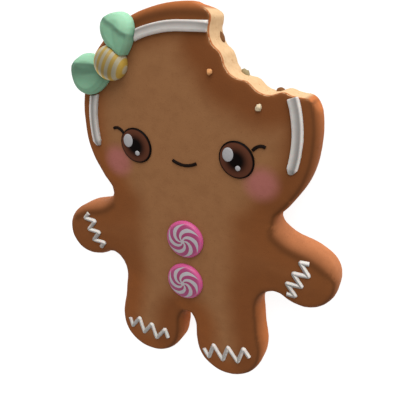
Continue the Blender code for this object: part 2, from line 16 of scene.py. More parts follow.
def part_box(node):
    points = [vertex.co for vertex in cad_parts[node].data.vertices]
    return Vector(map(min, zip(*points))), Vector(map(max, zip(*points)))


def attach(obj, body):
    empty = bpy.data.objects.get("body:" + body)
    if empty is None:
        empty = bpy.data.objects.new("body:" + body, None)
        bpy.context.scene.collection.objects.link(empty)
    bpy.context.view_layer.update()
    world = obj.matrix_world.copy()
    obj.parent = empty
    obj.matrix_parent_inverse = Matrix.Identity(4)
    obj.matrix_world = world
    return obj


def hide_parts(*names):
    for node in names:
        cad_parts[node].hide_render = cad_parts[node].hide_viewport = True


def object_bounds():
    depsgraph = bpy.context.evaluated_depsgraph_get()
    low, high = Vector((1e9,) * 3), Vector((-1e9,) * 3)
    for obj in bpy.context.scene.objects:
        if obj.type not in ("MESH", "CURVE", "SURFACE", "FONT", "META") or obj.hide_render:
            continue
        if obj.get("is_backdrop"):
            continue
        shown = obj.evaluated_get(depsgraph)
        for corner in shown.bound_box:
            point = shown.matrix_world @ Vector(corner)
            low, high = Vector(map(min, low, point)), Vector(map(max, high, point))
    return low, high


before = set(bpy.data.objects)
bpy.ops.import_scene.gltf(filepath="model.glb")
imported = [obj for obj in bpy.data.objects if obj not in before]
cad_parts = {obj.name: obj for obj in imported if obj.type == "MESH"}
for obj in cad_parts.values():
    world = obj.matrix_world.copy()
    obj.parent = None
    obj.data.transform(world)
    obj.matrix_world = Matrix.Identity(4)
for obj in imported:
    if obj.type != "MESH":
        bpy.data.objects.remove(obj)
cad_low, cad_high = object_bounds()
MM = 0.001
print("pieces in the packed model:", len(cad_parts))

# %% [markdown]
# Colours are easiest to judge as the 0 to 255 numbers that a paint program shows, but a shader
# takes linear light. This helper turns one into the other, so the numbers below stay readable.

# %% Colours as a shader takes them


def tone(red, green, blue):
    """A colour given from 0 to 255 as linear red, green, blue and full alpha."""
    shares = [value / 255 for value in (red, green, blue)]
    bright = [s / 12.92 if s <= 0.04045 else ((s + 0.055) / 1.055) ** 2.4 for s in shares]
    return (*bright, 1.0)


print("mid brown crust:", [round(value, 3) for value in tone(132, 92, 62)])

# %% [markdown]
# A finish is a tree of shader nodes, and writing one link at a time is hard to read. Here a small
# class wraps a socket, so that sums on it read as plain Python and each adds its own Math node.

# %% Shader sums written as Python


class Wire:
    """The output of a shader node, with the usual operators."""

    def __init__(self, finish, socket):
        self.finish = finish
        self.socket = socket

    def maths(self, operation, *others):
        sockets = dict(enumerate((self, *others)))
        return self.finish.node("ShaderNodeMath", {"operation": operation}, sockets)

    def __add__(self, other):
        return self.maths("ADD", other)

    __radd__ = __add__

    def __sub__(self, other):
        return self.maths("SUBTRACT", other)

    def __rsub__(self, other):
        return self.finish.node("ShaderNodeMath", {"operation": "SUBTRACT"}, {0: other, 1: self})

    def __mul__(self, other):
        return self.maths("MULTIPLY", other)

    __rmul__ = __mul__

    def __truediv__(self, other):
        return self.maths("DIVIDE", other)

    def other_output(self, output):
        return Wire(self.finish, self.socket.node.outputs[output])

    def step(self, low, high):
        """0 below low and 1 above high, with a smooth way between; low may be the larger."""
        settings = {"interpolation_type": "SMOOTHSTEP"}
        if low < high:
            ends = {"From Min": low, "From Max": high, "To Min": 0.0, "To Max": 1.0}
        else:
            ends = {"From Min": high, "From Max": low, "To Min": 1.0, "To Max": 0.0}
        return self.finish.node("ShaderNodeMapRange", settings, {"Value": self, **ends})


print("sums on sockets ready")

# %% [markdown]
# Every other node comes from one method of the finish, which takes its settings first and then
# its inputs. The rest are short names for the nodes that a food needs most: a place, a stored
# measure, soft noise, a mix of two colours and a fine relief.

# %% A finish and its nodes


class Finish:
    """A material and the few ways in which its nodes are added."""

    def __init__(self, name, **constants):
        self.material = bpy.data.materials.new(name)
        self.material.use_nodes = True
        self.tree = self.material.node_tree
        self.surface = self.tree.nodes["Principled BSDF"]
        for socket, value in constants.items():
            self.surface.inputs[socket.replace("_", " ")].default_value = value

    def node(self, kind, settings, sockets, output=0):
        made = self.tree.nodes.new(kind)
        for name, value in settings.items():
            setattr(made, name, value)
        for name, value in sockets.items():
            self.feed(made.inputs[name], value)
        return Wire(self, made.outputs[output])

    def feed(self, socket, value):
        if isinstance(value, Wire):
            self.tree.links.new(value.socket, socket)
        else:
            socket.default_value = value

    def place(self):
        return self.node("ShaderNodeTexCoord", {}, {}, "Object")

    def measured(self, name):
        return self.node("ShaderNodeAttribute", {"attribute_name": name}, {}, "Fac")

    def cloud(self, size, detail=3.0):
        """Soft noise from 0 to 1 with lumps of about the size, in metres."""
        sockets = {"Vector": self.place(), "Scale": 1.0 / size, "Detail": detail}
        return self.node("ShaderNodeTexNoise", {}, sockets)

    def mix(self, share, first, second):
        sockets = {0: share, 6: first, 7: second}
        return self.node("ShaderNodeMix", {"data_type": "RGBA"}, sockets, 2)

    def colour(self, value):
        self.feed(self.surface.inputs["Base Color"], value)

    def relief(self, height, depth):
        """Small relief, too fine to model, depth metres deep."""
        sockets = {"Height": height, "Distance": depth, "Strength": 1.0}
        self.feed(self.surface.inputs["Normal"], self.node("ShaderNodeBump", {}, sockets))


print("finishes ready")

# %% [markdown]
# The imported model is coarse, because its job is to be checked and weighed. A voxel remesh of a
# merged copy gives even, fine faces that can carry relief, and a few smoothing passes take off
# the facets. It could be subdivided too, but that keeps the long thin triangles of flat parts.

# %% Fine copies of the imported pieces
SAME_POINT = 0.001 * MM


def fine_copy(node, name, voxel, passes):
    """A closed, even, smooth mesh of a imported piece, as a new object in the scene."""
    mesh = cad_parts[node].data.copy()
    mesh.materials.clear()
    shape = bmesh.new()
    shape.from_mesh(mesh)
    bmesh.ops.remove_doubles(shape, verts=shape.verts, dist=SAME_POINT)
    shape.to_mesh(mesh)
    shape.free()
    coarse = bpy.data.objects.new(name + "_coarse", mesh)
    bpy.context.scene.collection.objects.link(coarse)
    remesh = coarse.modifiers.new("remesh", "REMESH")
    remesh.mode = "VOXEL"
    remesh.voxel_size = voxel
    smooth = coarse.modifiers.new("smooth", "SMOOTH")
    smooth.factor = 0.5
    smooth.iterations = passes
    made = baked(coarse, name)
    bpy.data.meshes.remove(mesh)
    return made


def baked(source, name):
    """The object as its modifiers leave it, as a plain mesh; the source is removed."""
    graph = bpy.context.evaluated_depsgraph_get()
    mesh = bpy.data.meshes.new_from_object(source.evaluated_get(graph))
    bpy.data.objects.remove(source)
    return shown(mesh, name)


def shown(mesh, name):
    """A smooth-shaded object of the mesh, put in the scene."""
    mesh.name = name
    mesh.shade_smooth()
    made = bpy.data.objects.new(name, mesh)
    bpy.context.scene.collection.objects.link(made)
    return made


cookie = fine_copy("cookie", "baked_cookie", voxel=0.5 * MM, passes=6)
print("fine cookie:", len(cookie.data.vertices), "points")

# %% [markdown]
# The camera stands where the picture's did: off to the viewer's right and above the head, close
# enough that the near arm looks larger. Its place follows from two angles, a small roll and a
# distance, measured from a point on the face.

# %% Camera
AROUND = math.radians(23.8)
ABOVE = math.radians(23.0)
ROLL = math.radians(1.2)
DISTANCE = 135.9 * MM
LOOKED_AT = Vector((7.883, 2.04, 9.9)) * MM
SENSOR_WIDTH = 36.0
FOCAL_PIXELS = 450.0
PICTURE_PIXELS = 420.0

outward = Vector((
    math.sin(AROUND) * math.cos(ABOVE), math.sin(ABOVE), math.cos(AROUND) * math.cos(ABOVE)))
level = Vector((0.0, 1.0, 0.0)).cross(outward).normalized()
upright = outward.cross(level)
rightward = level * math.cos(ROLL) + upright * math.sin(ROLL)
upward = upright * math.cos(ROLL) - level * math.sin(ROLL)
camera = bpy.data.objects.new("camera", bpy.data.cameras.new("camera"))
bpy.context.scene.collection.objects.link(camera)
camera.matrix_world = Matrix((rightward, upward, outward)).transposed().to_4x4()
camera.location = LOOKED_AT + outward * DISTANCE
camera.data.lens = SENSOR_WIDTH * FOCAL_PIXELS / PICTURE_PIXELS
camera.data.sensor_width = SENSOR_WIDTH
camera.data.clip_start = 5.0 * MM
camera.data.clip_end = 10.0
bpy.context.scene.camera = camera
print("camera at", [round(value / MM, 1) for value in camera.location], "mm")

# %% [markdown]
# A baked cookie is palest in its middle and browner towards every edge, where it dries and
# caramelises. The shader has to know how far each point is from an edge, and some measures need
# the head's edge as it was before the bite. That edge is a rounded oval, worked out here. A k-d
# tree then finds its nearest point to any place, seen from above.

# %% The edge of the uncut head
HEAD_MIDDLE_Y = 25.0 * MM
HEAD_HALF_WIDTH = 37.6 * MM
HEAD_UP = 34.5 * MM
HEAD_DOWN = 31.0 * MM
HEAD_SQUARENESS = 2.18
NECK_Y = 8.0 * MM


def uncut_head(count=900):
    """Points round the head's oval as it was before the bite, down to the neck."""
    turns = np.linspace(0.0, 2.0 * math.pi, count, endpoint=False)
    wide, tall = np.cos(turns), np.sin(turns)
    power = 2.0 / HEAD_SQUARENESS
    x = HEAD_HALF_WIDTH * np.sign(wide) * np.abs(wide) ** power
    y = np.where(tall > 0.0, HEAD_UP, HEAD_DOWN) * np.sign(tall) * np.abs(tall) ** power
    oval = np.column_stack([x, y + HEAD_MIDDLE_Y])
    return oval[oval[:, 1] > NECK_Y]


def tree_of(points):
    """A search tree of the points as seen from above."""
    tree = KDTree(len(points))
    for index, point in enumerate(points):
        tree.insert((point[0], point[1], 0.0), index)
    tree.balance()
    return tree


def nearest_to(tree, points):
    """The place in the tree nearest to each point, and how far off it is."""
    found = [tree.find((x, y, 0.0)) for x, y in points[:, :2]]
    nearest = [place[:2] for place, _, _ in found]
    return np.array(nearest), np.array([away for _, _, away in found])


def distance_to(tree, points):
    return nearest_to(tree, points)[1]


head_edge = uncut_head()
print("points round the uncut head:", len(head_edge))

# %% [markdown]
# A loop in Python over many thousands of points is slow, so they come out of Blender as one NumPy
# array. A soft step then turns any measure into a share from 0 to 1 without a hard edge.

# %% Points as arrays


def points_of(mesh, kind="vertices"):
    """Vertex places or normals as an array of rows."""
    found = np.empty(len(mesh.vertices) * 3, np.float32)
    if kind == "normals":
        mesh.vertex_normals.foreach_get("vector", found)
    else:
        mesh.vertices.foreach_get("co", found)
    return found.reshape(-1, 3).astype(float)


def smoothstep(values, low, high):
    """0 up to low and 1 from high on, with a smooth way between."""
    share = np.clip((values - low) / (high - low), 0.0, 1.0)
    return share * share * (3.0 - 2.0 * share)


places = points_of(cookie.data)
normals = points_of(cookie.data, "normals")
print("normals that point up:", int((normals[:, 2] > 0.9).sum()))

# %% [markdown]
# The bitten wall is told from the baked one because it is upright, faces the middle of the bite
# and lies inside the uncut head. At the right end of the bite the baked side is torn round onto
# the wall, so the pale crumb starts further in there.

# %% Find the bitten wall
BITE_CENTRE = np.array((27.2, 59.9)) * MM
BITE_REACH = 30.0 * MM
BITE_FADE = 2.0 * MM
CORNER_STARTS = 27.0 * MM
CORNER_FULL = 32.0 * MM
STEEPEST_SLOPE = 0.75
TINY = 1e-6

to_bite = BITE_CENTRE - places[:, :2]
bite_away = np.linalg.norm(to_bite, axis=1)
level_part = np.maximum(np.linalg.norm(normals[:, :2], axis=1), TINY)
level_normals = normals[:, :2] / level_part[:, None]
towards = (to_bite * normals[:, :2]).sum(axis=1) / (bite_away * level_part)
upright_wall = smoothstep(STEEPEST_SLOPE - np.abs(normals[:, 2]), 0.0, 0.4)
near_bite = smoothstep(BITE_REACH - bite_away, 0.0, BITE_FADE)
at_corner = smoothstep(places[:, 0], CORNER_STARTS, CORNER_FULL)
crumb_starts = (0.3 + 1.3 * at_corner) * MM
crumb_full = (1.2 + 1.7 * at_corner) * MM
inside_head = smoothstep(distance_to(tree_of(head_edge), places), crumb_starts, crumb_full)
cut_wall = smoothstep(towards, 0.3, 0.6) * near_bite * upright_wall
bitten = cut_wall * inside_head
torn = cut_wall * at_corner * (1.0 - inside_head)
print("points on the bitten wall:", int((bitten > 0.5).sum()))

# %% [markdown]
# A cut crust shows as a thin brown line along the top of the bite, so each point of the wall gets
# its depth below the front. A ray straight down, a little behind the wall, finds the front. The
# same ray later tells where the icing and the sweets rest.

# %% Depth below the front
CRUST_PROBE = 1.0 * MM
NO_CRUST = 9.0
RAY_HEIGHT = 50.0 * MM

ground = BVHTree.FromPolygons(
    [Vector(point) for point in places], [face.vertices[:] for face in cookie.data.polygons])


def skin_below(x, y):
    """The point of the skin straight below a place, or None beyond the cookie."""
    return ground.ray_cast(Vector((x, y, RAY_HEIGHT)), Vector((0.0, 0.0, -1.0)))[0]


behind_wall = places[:, :2] - level_normals * CRUST_PROBE
below_front = np.full(len(places), NO_CRUST)
for index in np.flatnonzero(bitten > 0.02):
    front = skin_below(*behind_wall[index])
    if front:
        below_front[index] = (front.z - places[index, 2]) / MM
print("points with a depth below the front:", int((below_front < NO_CRUST).sum()))

# %% [markdown]
# The baked side is measured up from the tray and on over the rounded edge, which is broad where
# the side faces the crown. That share drives the painted light on the side: most orange at the
# tray, and less beside the cheeks. The dark line round the front is painted shade, only on the
# sides that face the crown or the viewer's right.

# %% Measure the baked side
BELT_HEIGHT = 5.0 * MM
BELT_HALF_HEIGHT = 0.8 * MM
SIDE_HEIGHT = 10.0 * MM
ROUNDED_EDGE = 0.8 * MM
BROADER_AT_CROWN = 2.2 * MM
OVAL_ERROR = 0.8 * MM
CHEEKS_FROM = 5.0 * MM
CHEEKS_FULL = 15.0 * MM
SHADED_RIM_WAY = np.array((0.72, 0.70))

at_mid_height = np.abs(places[:, 2] - BELT_HEIGHT) < BELT_HALF_HEIGHT
belt = at_mid_height & (np.abs(normals[:, 2]) < 0.4)
baked_places = places[belt & (bitten < 0.5)]
bitten_places = places[belt & (bitten >= 0.5)]
from_edge_mm = distance_to(tree_of(np.concatenate([baked_places, bitten_places])), places) / MM
below_neck = baked_places[baked_places[:, 1] < NECK_Y][:, :2]
uncut_edge = tree_of(np.concatenate([head_edge, below_neck]))
edge_places, from_uncut = nearest_to(uncut_edge, places)
to_edge = (edge_places - places[:, :2]) / np.maximum(from_uncut, TINY)[:, None]
outward_way = np.where(from_uncut[:, None] > OVAL_ERROR, to_edge, level_normals)
outward_y = outward_way[:, 1]
climb = np.minimum(places[:, 2], SIDE_HEIGHT) + from_uncut
climbed = SIDE_HEIGHT + ROUNDED_EDGE + BROADER_AT_CROWN * smoothstep(outward_y, 0.1, 0.8)
climb_share = climb / climbed
beside_cheeks = smoothstep(places[:, 1], CHEEKS_FROM, CHEEKS_FULL)
dimmer_by_cheeks = beside_cheeks * (1.0 - smoothstep(outward_y, -0.1, 0.6))
# Painted light on the side: most at the tray, none under the front's edge, less by the cheeks.
painted_side_light = (1.0 - np.clip(climb_share, 0.0, 1.0) ** 1.5) * (1.0 - 0.5 * dimmer_by_cheeks)
# The sides that face the crown or the viewer's right carry a painted shade at the front's edge.
shaded_rim_sides = smoothstep(outward_way @ SHADED_RIM_WAY, -0.5, 0.1)
# Elsewhere, and at the torn corner, the side gets at least part of the painted light.
painted_side_light = np.maximum(painted_side_light, np.maximum(0.5 * (1.0 - shaded_rim_sides), 0.8 * torn))
on_side = np.maximum(1.0 - smoothstep(climb_share, 0.92, 1.06), torn)
# A painted shade line where the front turns over, on the crown's and the right's sides.
edge_shade_line = np.exp(-(((climb_share - 1.0) / 0.08) ** 2)) * shaded_rim_sides
print("points round the baked side:", len(baked_places))

# %% [markdown]
# Gingerbread bakes with a gently uneven skin and tiny pits, and its bitten face is an open crumb.
# Both are moved into the mesh along its normals by fixed noise, because relief that changes the
# outline must be real. Teeth press a soft cookie nearly smooth, so the crumb stays shallow.

# %% Relief of the skin and the crumb
SKIN_WAVE = 0.09 * MM
SKIN_WAVE_SIZE = 9.0 * MM
SKIN_GRAIN = 0.025 * MM
SKIN_GRAIN_SIZE = 1.1 * MM
CRUMB_DEPTH = 0.1 * MM
CRUMB_SIZE = 1.3 * MM
CRUMB_INSET = 0.05 * MM
BASE_FLAT = 0.2 * MM
BASE_ROUGH_FROM = 1.5 * MM


def move_points(mesh, points):
    mesh.vertices.foreach_set("co", points.astype(np.float32).ravel())
    mesh.update()


def noise_at(points, size):
    """Noise of about -1 to 1 at each point, with lumps of the size and half as large."""
    return np.array([noise.fractal(Vector(point / size), 0.8, 2.0, 2) for point in points])


wave = noise_at(places, SKIN_WAVE_SIZE)
grain = noise_at(places, SKIN_GRAIN_SIZE)
crumb = noise_at(places, CRUMB_SIZE)
clear_of_base = smoothstep(places[:, 2], BASE_FLAT, BASE_ROUGH_FROM)
push = (SKIN_WAVE * wave + SKIN_GRAIN * grain) * (1.0 - bitten)
push += (CRUMB_DEPTH * crumb - CRUMB_INSET) * bitten
move_points(cookie.data, places + normals * (push * clear_of_base)[:, None])
print("deepest relief:", round(float(np.abs(push).max() / MM), 2), "mm")

# %% [markdown]
# The shader can't see these arrays. Each is stored on the mesh as an attribute, one number a
# point, which the shader reads by its name. The shares could be painted by hand instead, but a
# measure stays right when the shape changes.

# %% Keep the measures for the shader


def keep_measure(mesh, name, values):
    """Stores one number a vertex for the shader."""
    attribute = mesh.attributes.new(name, "FLOAT", "POINT")
    attribute.data.foreach_set("value", values.astype(np.float32))


measures = {
    "from_edge": from_edge_mm, "below_front": below_front, "bitten": bitten, "painted_side_light": painted_side_light,
    "shaded_rim_sides": shaded_rim_sides, "on_side": on_side, "edge_shade_line": edge_shade_line,
}
for name, values in measures.items():
    keep_measure(cookie.data, name, values)
print("measures kept:", ", ".join(measures))

# %% [markdown]
# The skin's colour follows the distance from the edge, in millimetres: a pale middle and a
# browner rim. The arms are thin and brown more. They are found by place, in metres.

# %% Gingerbread: the front
RIM_ENDS = 4.5
MIDDLE_STARTS = 13.5
ARM_FROM_MIDDLE = (11.0 * MM, 20.0 * MM)
ARM_TOP = (7.0 * MM, 0.0)
ARM_FOOT = (-31.0 * MM, -22.0 * MM)

gingerbread = Finish("gingerbread", Roughness=0.7, Specular_IOR_Level=0.03)
from_edge = gingerbread.measured("from_edge")
spot = gingerbread.node("ShaderNodeSeparateXYZ", {}, {0: gingerbread.place()})
spot_y = spot.other_output(1)
# The rim is painted a little darker on the sides facing the crown or the right: painted shade.
rim_tone = gingerbread.mix(gingerbread.measured("shaded_rim_sides"), tone(117, 68, 35), tone(105, 61, 32))
skin = gingerbread.mix(from_edge.step(RIM_ENDS, MIDDLE_STARTS), rim_tone, tone(126, 87, 56))
beside_body = spot.maths("ABSOLUTE").step(*ARM_FROM_MIDDLE)
on_arm = beside_body * spot_y.step(*ARM_TOP) * spot_y.step(*ARM_FOOT)
skin = gingerbread.mix(on_arm * 0.85, skin, tone(107, 63, 33))
print("nodes for the front:", len(gingerbread.tree.nodes))

# %% [markdown]
# A soft dark line of painted shade runs where the front turns over. The side is painted dark
# under that line and lighter towards the tray, a warm orange of painted light.

# %% Gingerbread: the side
# The side's orange is painted light, a little paler on the arms.
lit_side_tone = gingerbread.mix(on_arm, tone(190, 111, 60), tone(184, 117, 77))
side = gingerbread.mix(gingerbread.measured("painted_side_light"), tone(96, 56, 30), lit_side_tone)
skin = gingerbread.mix(gingerbread.measured("on_side"), skin, side)
skin = gingerbread.mix(gingerbread.measured("edge_shade_line") * 0.75, skin, tone(82, 48, 25))
print("nodes with the side:", len(gingerbread.tree.nodes))

# %% [markdown]
# The blush is two soft discs of pink dusted on the cheeks. Noise of two sizes then mottles the
# whole skin and adds specks of spice, because an even brown looks like plastic.

# %% Gingerbread: the blush and the mottling
CHEEKS = ((-23.5 * MM, 13.5 * MM), (23.7 * MM, 13.2 * MM))
BLUSH_FULL = 2.0
BLUSH_GONE = 6.9

for cheek_x, cheek_y in CHEEKS:
    away_x = (spot - cheek_x) / MM
    away_y = (spot_y - cheek_y) / MM
    away = (away_x * away_x + away_y * away_y).maths("SQRT")
    skin = gingerbread.mix(away.step(BLUSH_GONE, BLUSH_FULL) * 0.9, skin, tone(143, 86, 80))
mottle = gingerbread.cloud(3.2 * MM)
skin = gingerbread.mix(mottle.step(0.35, 0.75) * 0.16, skin, tone(92, 54, 30))
speck = gingerbread.cloud(0.5 * MM, 1.0)
skin = gingerbread.mix(speck.step(0.66, 0.74) * 0.2, skin, tone(78, 44, 24))
print("nodes with the blush:", len(gingerbread.tree.nodes))

# %% [markdown]
# The crumb inside is pale, and its only brown is the thin crust of the front, given by the depth
# below it in millimetres. Each finished piece is also put under its body, and the imported
# pieces that it stands for are hidden.

# %% Gingerbread: the crumb
CRUST_ENDS = (1.5, 0.8)


def finished(piece, finish, slot, *nodes):
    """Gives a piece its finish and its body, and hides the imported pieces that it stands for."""
    piece.data.materials.clear()
    piece.data.materials.append(finish.material)
    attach(piece, "root")
    if nodes:
        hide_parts(*nodes)
    print(piece.name, len(piece.data.polygons), "faces")


bite_share = gingerbread.measured("bitten")
patches = gingerbread.cloud(1.3 * MM).step(0.3, 0.7)
crumb_tone = gingerbread.mix(patches, tone(194, 160, 121), tone(200, 168, 129))
crust = gingerbread.measured("below_front").step(*CRUST_ENDS)
crumb_tone = gingerbread.mix(crust, crumb_tone, tone(156, 92, 52))
gingerbread.colour(gingerbread.mix(bite_share, skin, crumb_tone))
pits = gingerbread.cloud(0.35 * MM, 4.0) * (1.0 - 0.7 * bite_share)
gingerbread.relief(pits, 0.04 * MM)
finished(cookie, gingerbread, "gingerbread", "cookie")

# %% [markdown]
# Royal icing is piped from a bag, so it has a round back and sits in full contact with the
# cookie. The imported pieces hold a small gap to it, which would show as a line of light. Each fine
# copy is stretched down at its base until it meets the skin, while its top stays where it is.

# %% Bring a piece down onto the skin
SINK = 0.55 * MM
SUNK_BELOW = 0.2 * MM
BEYOND_COOKIE = 50.0 * MM


def height_above(points):
    """How far each point is above the skin; points beyond the cookie get a large height."""
    heights = []
    for x, y, z in points:
        skin_point = skin_below(x, y)
        heights.append(z - skin_point.z if skin_point else BEYOND_COOKIE)
    return np.array(heights)


def settle(piece, full):
    """Stretches the lowest full metres of a piece down into the skin."""
    points = points_of(piece.data)
    above = height_above(points)
    points[:, 2] -= SINK * (1.0 - smoothstep(above, SUNK_BELOW, full))
    move_points(piece.data, points)


print("skin at the middle:", round(skin_below(0.0, 0.0).z / MM, 2), "mm")

# %% [markdown]
# The line round the head was piped with a notched tip, which leaves a crease along it: a narrow
# bevel outside the crease and a long gentle slope inside. The crease is painted darker grey, a
# painted shade that fades over the bevel and up the slope. Each run's crease keeps one distance
# from the uncut head's edge, in millimetres, but the hand wandered, so each run has its own.

# %% Icing round the head
CREASES_FROM_EDGE = {"icing_head_top": 5.3, "icing_head_left": 5.7, "icing_head_right": 4.45}
CREASE_WIDTH = 0.42 * MM
CREASE_DEPTH = 0.34 * MM
INNER_SLOPE = 2.2 * MM

icing = Finish("piped_icing", Roughness=0.45, Specular_IOR_Level=0.3,
               Subsurface_Weight=0.1, Subsurface_Scale=0.002)
lumps = icing.cloud(2.0 * MM).step(0.3, 0.7)
icing_tone = icing.mix(lumps, tone(190, 185, 179), tone(198, 192, 186))
# The grey mixed in is painted shade: in the head line's crease and on the zigzags' shaded side.
icing.colour(icing.mix(icing.measured("icing_shade"), icing_tone, tone(106, 101, 97)))
icing.relief(icing.cloud(0.8 * MM, 2.0), 0.02 * MM)

for node, crease_at in CREASES_FROM_EDGE.items():
    line = fine_copy(node, node.replace("icing", "piped"), voxel=0.16 * MM, passes=8)
    settle(line, full=0.9 * MM)
    laid = points_of(line.data)
    across = distance_to(uncut_edge, laid) - crease_at * MM
    # This profile sets both the crease's depth and its painted shade.
    bevel = np.exp(-((across / CREASE_WIDTH) ** 2))
    icing_shade = np.where(across < 0.0, bevel, 1.0 - smoothstep(across, 0.0, INNER_SLOPE))
    laid[:, 2] -= CREASE_DEPTH * icing_shade
    move_points(line.data, laid)
    keep_measure(line.data, "icing_shade", icing_shade * 0.9)
    finished(line, icing, "white_icing", node)

# %% [markdown]
# A zigzag, a lash and a smile are each one stroke of the bag along a path. Geometry Nodes sweep a
# round section along the path, with the section's size and its unevenness as named inputs, so one
# tree pipes them all.

# %% A Geometry Nodes tree that pipes a stroke
STROKE_STEP = 0.16 * MM
WOBBLE_SCALE = 700.0


def piping_tree(material):
    """A tree that sweeps a round section along a path; its inputs are named below."""
    tree = bpy.data.node_groups.new("pipe a stroke", "GeometryNodeTree")
    tree.interface.new_socket("Path", in_out="INPUT", socket_type="NodeSocketGeometry")
    for name in ("Half width", "Bend radius", "Unevenness"):
        tree.interface.new_socket(name, in_out="INPUT", socket_type="NodeSocketFloat")
    tree.interface.new_socket("Piped", in_out="OUTPUT", socket_type="NodeSocketGeometry")
    given = tree.nodes.new("NodeGroupInput")
    result = tree.nodes.new("NodeGroupOutput")

    def add(kind, sockets, **settings):
        made = tree.nodes.new(kind)
        for name, value in settings.items():
            setattr(made, name, value)
        for name, value in sockets.items():
            if isinstance(value, bpy.types.NodeSocket):
                tree.links.new(value, made.inputs[name])
            else:
                made.inputs[name].default_value = value
        return made

    line = add("GeometryNodeMeshToCurve", {"Mesh": given.outputs["Path"]})
    bent = add("GeometryNodeFilletCurve",
               {"Curve": line.outputs[0], "Radius": given.outputs["Bend radius"]}, mode="POLY")
    bent.inputs["Count"].default_value = 6
    even = add("GeometryNodeResampleCurve",
               {"Curve": bent.outputs[0], "Length": STROKE_STEP}, mode="LENGTH")
    wobble = add("ShaderNodeTexNoise", {"Scale": WOBBLE_SCALE, "Detail": 1.0},
                 noise_dimensions="3D")
    centred = add("ShaderNodeMath", {0: wobble.outputs[0], 1: 0.5}, operation="SUBTRACT")
    scaled = add("ShaderNodeMath",
                 {0: centred.outputs[0], 1: given.outputs["Unevenness"]}, operation="MULTIPLY")
    swollen = add("ShaderNodeMath", {0: scaled.outputs[0], 1: 1.0}, operation="ADD")
    width = add("ShaderNodeMath",
                {0: swollen.outputs[0], 1: given.outputs["Half width"]}, operation="MULTIPLY")
    section = add("GeometryNodeCurvePrimitiveCircle", {"Resolution": 14, "Radius": 1.0})
    swept = add("GeometryNodeCurveToMesh",
                {"Curve": even.outputs[0], "Profile Curve": section.outputs["Curve"],
                 "Scale": width.outputs[0], "Fill Caps": True})
    real = add("GeometryNodeRealizeInstances", {"Geometry": swept.outputs[0]})
    painted = add("GeometryNodeSetMaterial", {"Geometry": real.outputs[0], "Material": material})
    tree.links.new(painted.outputs[0], result.inputs[0])
    return tree


white_piping = piping_tree(icing.material)
print("piping tree:", len(white_piping.nodes), "nodes")

# %% [markdown]
# A path is only a chain of points joined by edges. Each point drops onto the skin, and the tree is
# put on the chain as a modifier, whose inputs are found by their names.

# %% Pipe a stroke on the skin


def piped(name, path, tree, sizes):
    """A stroke along (x, y) points on the skin, swept by the tree and made a plain mesh."""
    laid = [tuple(skin_below(x, y)) for x, y in path]
    mesh = bpy.data.meshes.new(name)
    mesh.from_pydata(laid, [(i, i + 1) for i in range(len(laid) - 1)], [])
    source = bpy.data.objects.new(name + "_path", mesh)
    bpy.context.scene.collection.objects.link(source)
    sweep = source.modifiers.new("pipe", "NODES")
    sweep.node_group = tree
    for socket in tree.interface.items_tree:
        if socket.name in sizes:
            sweep[socket.identifier] = sizes[socket.name]
    return baked(source, name)


print("inputs:", [socket.name for socket in white_piping.interface.items_tree])

# %% [markdown]
# Each zigzag has three strokes out, two back between them and a short one at each end. The four
# differ only in where they start, which way they run and how much painted shade they get, so
# those are the values kept. The icing is painted grey along its back and on the side away from
# the crown, a painted shade.

# %% Zigzags on the arms and legs
ZIGZAGS = {
    "icing_leg_left": ((-21.9, -49.8), (5.1, -0.95), (3.45, 4.85), 0.5),
    "icing_leg_right": ((9.0, -52.9), (5.3, 1.0), (1.75, 6.1), 0.5),
    "icing_arm_left": ((-39.5, -9.8), (1.6, -3.8), (4.35, -0.35), 0.55),
    "icing_arm_right": ((36.7, -8.6), (-1.6, -3.8), (2.9, -3.75), 0.75),
}
SHORT_STROKE = 0.58
BRIGHT_WAY = np.array((0.5, 0.87, 0.0))
LONGEST_STEP = 1.6 * MM


def zigzag(first, repeat, across):
    """The corners: three strokes out, two back between them and a short one at each end."""
    first, repeat, across = np.array(first), np.array(repeat), np.array(across)
    corners = []
    for index in range(3):
        corners += [first + index * repeat, first + index * repeat + across]
    start = corners[0] + SHORT_STROKE * (across - repeat)
    end = corners[-1] + SHORT_STROKE * (repeat - across)
    return np.array([start] + corners + [end]) * MM


def between(path, step):
    """More points along straight strokes, so that they follow the swelling skin."""
    filled = [path[0]]
    for a, b in zip(path, path[1:]):
        count = max(1, round(float(np.linalg.norm(b - a)) / step))
        filled += [a + (b - a) * (i + 1) / count for i in range(count)]
    return np.array(filled)


zig_sizes = {"Half width": 0.72 * MM, "Bend radius": 0.1 * MM, "Unevenness": 0.2}
for node, (*sizes, shade) in ZIGZAGS.items():
    path = between(zigzag(*sizes), LONGEST_STEP)
    stroke = piped(node.replace("icing", "zigzag"), path, white_piping, zig_sizes)
    # Painted shade: grey on the side facing away from the crown and a grey line along the back.
    lit = points_of(stroke.data, "normals") @ BRIGHT_WAY
    far_side = shade * (1.0 - smoothstep(lit, 0.0, 0.35))
    along_back = 0.25 * np.exp(-(((lit + 0.05) / 0.15) ** 2))
    keep_measure(stroke.data, "icing_shade", far_side + along_back)
    finished(stroke, icing, "white_icing", node)

# %% [markdown]
# The smile and the lashes are the thinnest strokes, in icing so dark that it reads as black. They
# come from the same tree with a smaller section.

# %% Smile and lashes
dark = Finish("dark_icing", Roughness=0.5, Specular_IOR_Level=0.03)
dark.colour(dark.mix(dark.cloud(0.8 * MM), tone(14, 8, 6), tone(26, 16, 12)))
dark_piping = piping_tree(dark.material)


def bowed(start, end, bow, count=10):
    """Points of a line between two places in millimetres, bowed up or down in its middle."""
    shares = np.linspace(0.0, 1.0, count)
    line = np.outer(1.0 - shares, start) + np.outer(shares, end)
    line[:, 1] += bow * 4.0 * shares * (1.0 - shares)
    return line * MM


